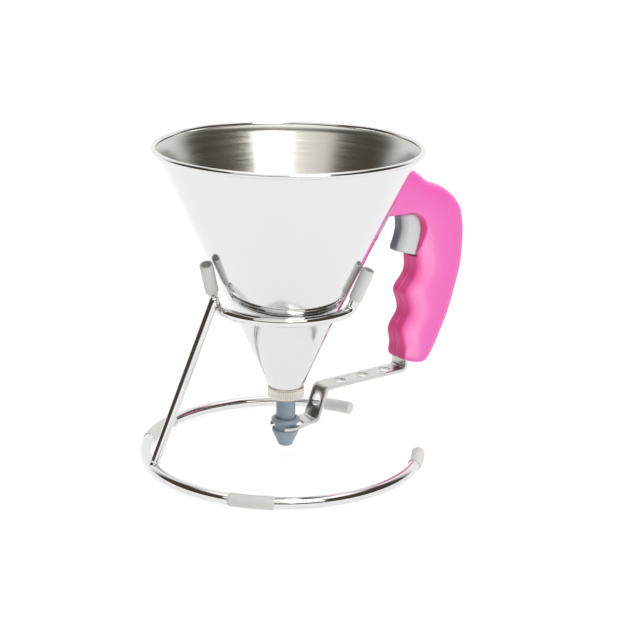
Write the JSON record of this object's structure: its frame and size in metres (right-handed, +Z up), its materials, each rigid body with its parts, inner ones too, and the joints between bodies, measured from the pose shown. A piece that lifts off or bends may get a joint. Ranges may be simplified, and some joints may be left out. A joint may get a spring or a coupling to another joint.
{
  "type": "batter dispenser",
  "caption": "Stainless funnel with a side handle, a squeeze trigger and a sliding nozzle valve that drops batter in portions, hung in a bent wire stand that stands on soft sleeves.",
  "frame": {"origin": "centre of the whole part's footprint box, on the table plane", "axes": "+X from the funnel towards the handle and lever arm, +Z up along the funnel's axis, -Y is the side of the handle that faces the viewer"},
  "size_m": [0.2104, 0.163, 0.1809],
  "materials": {
    "stand_wire": "polished",
    "sleeve": "matte",
    "funnel_steel": "polished",
    "seal": "matte",
    "valve_plastic": "satin",
    "fitting_steel": "satin",
    "handle_soft": "matte",
    "nut_steel": "satin",
    "trigger_plastic": "satin",
    "bush_brass": "satin",
    "strip_steel": "satin"
  },
  "bodies": {
    "stand": {"base_ring": "stand_wire", "left_leg": "stand_wire", "cradle_wire": "stand_wire", "rear_leg": "stand_wire", "foot_sleeve_front": "sleeve", "foot_sleeve_left": "sleeve", "end_sleeve_near": "sleeve", "end_sleeve_far": "sleeve", "prong_sleeve_left": "sleeve", "prong_sleeve_right": "sleeve", "prong_sleeve_rear": "sleeve"},
    "funnel": {"funnel_cone": "funnel_steel", "neck_spigot": "funnel_steel", "neck_gasket": "seal", "valve_tube": "valve_plastic", "valve_plug": "valve_plastic", "tube_o_ring": "seal", "handle_bracket": "fitting_steel", "handle_shell_near": "handle_soft", "handle_shell_far": "handle_soft", "handle_screws": "fitting_steel", "pivot_pin": "fitting_steel", "return_spring": "fitting_steel"},
    "nut": {"collar_nut": "nut_steel"},
    "lever": {"trigger": "trigger_plastic", "pivot_bush": "bush_brass", "lever_strip": "strip_steel", "lever_rivets": "fitting_steel"},
    "nozzle": {"nozzle_slider": "valve_plastic"}
  },
  "joints": [
    {"name": "funnel_lift", "type": "slide", "parent": "stand", "child": "funnel", "axis": [0, 0, 1], "range_m": [0, 0.13]},
    {"name": "nut_turn", "type": "hinge", "parent": "funnel", "child": "nut", "pos_m": [-0.02263, -0.0016, 0.03925], "axis": [0, 0, 1], "continuous": true},
    {"name": "trigger_squeeze", "type": "hinge", "parent": "funnel", "child": "lever", "pos_m": [0.07231, -0.0016, 0.0561], "axis": [0, 1, 0], "range_deg": [0, 3], "stiffness_Nm_per_rad": 2, "springref_deg": -4.58, "deforming": ["return_spring"]},
    {"name": "nozzle_lift", "type": "slide", "parent": "funnel", "child": "nozzle", "axis": [0, 0, 1], "range_m": [0, 0.0052]}
  ],
  "couplings": [
    {"joint": "nozzle_lift", "follows": "trigger_squeeze", "m_per_rad": 0.095}
  ]
}
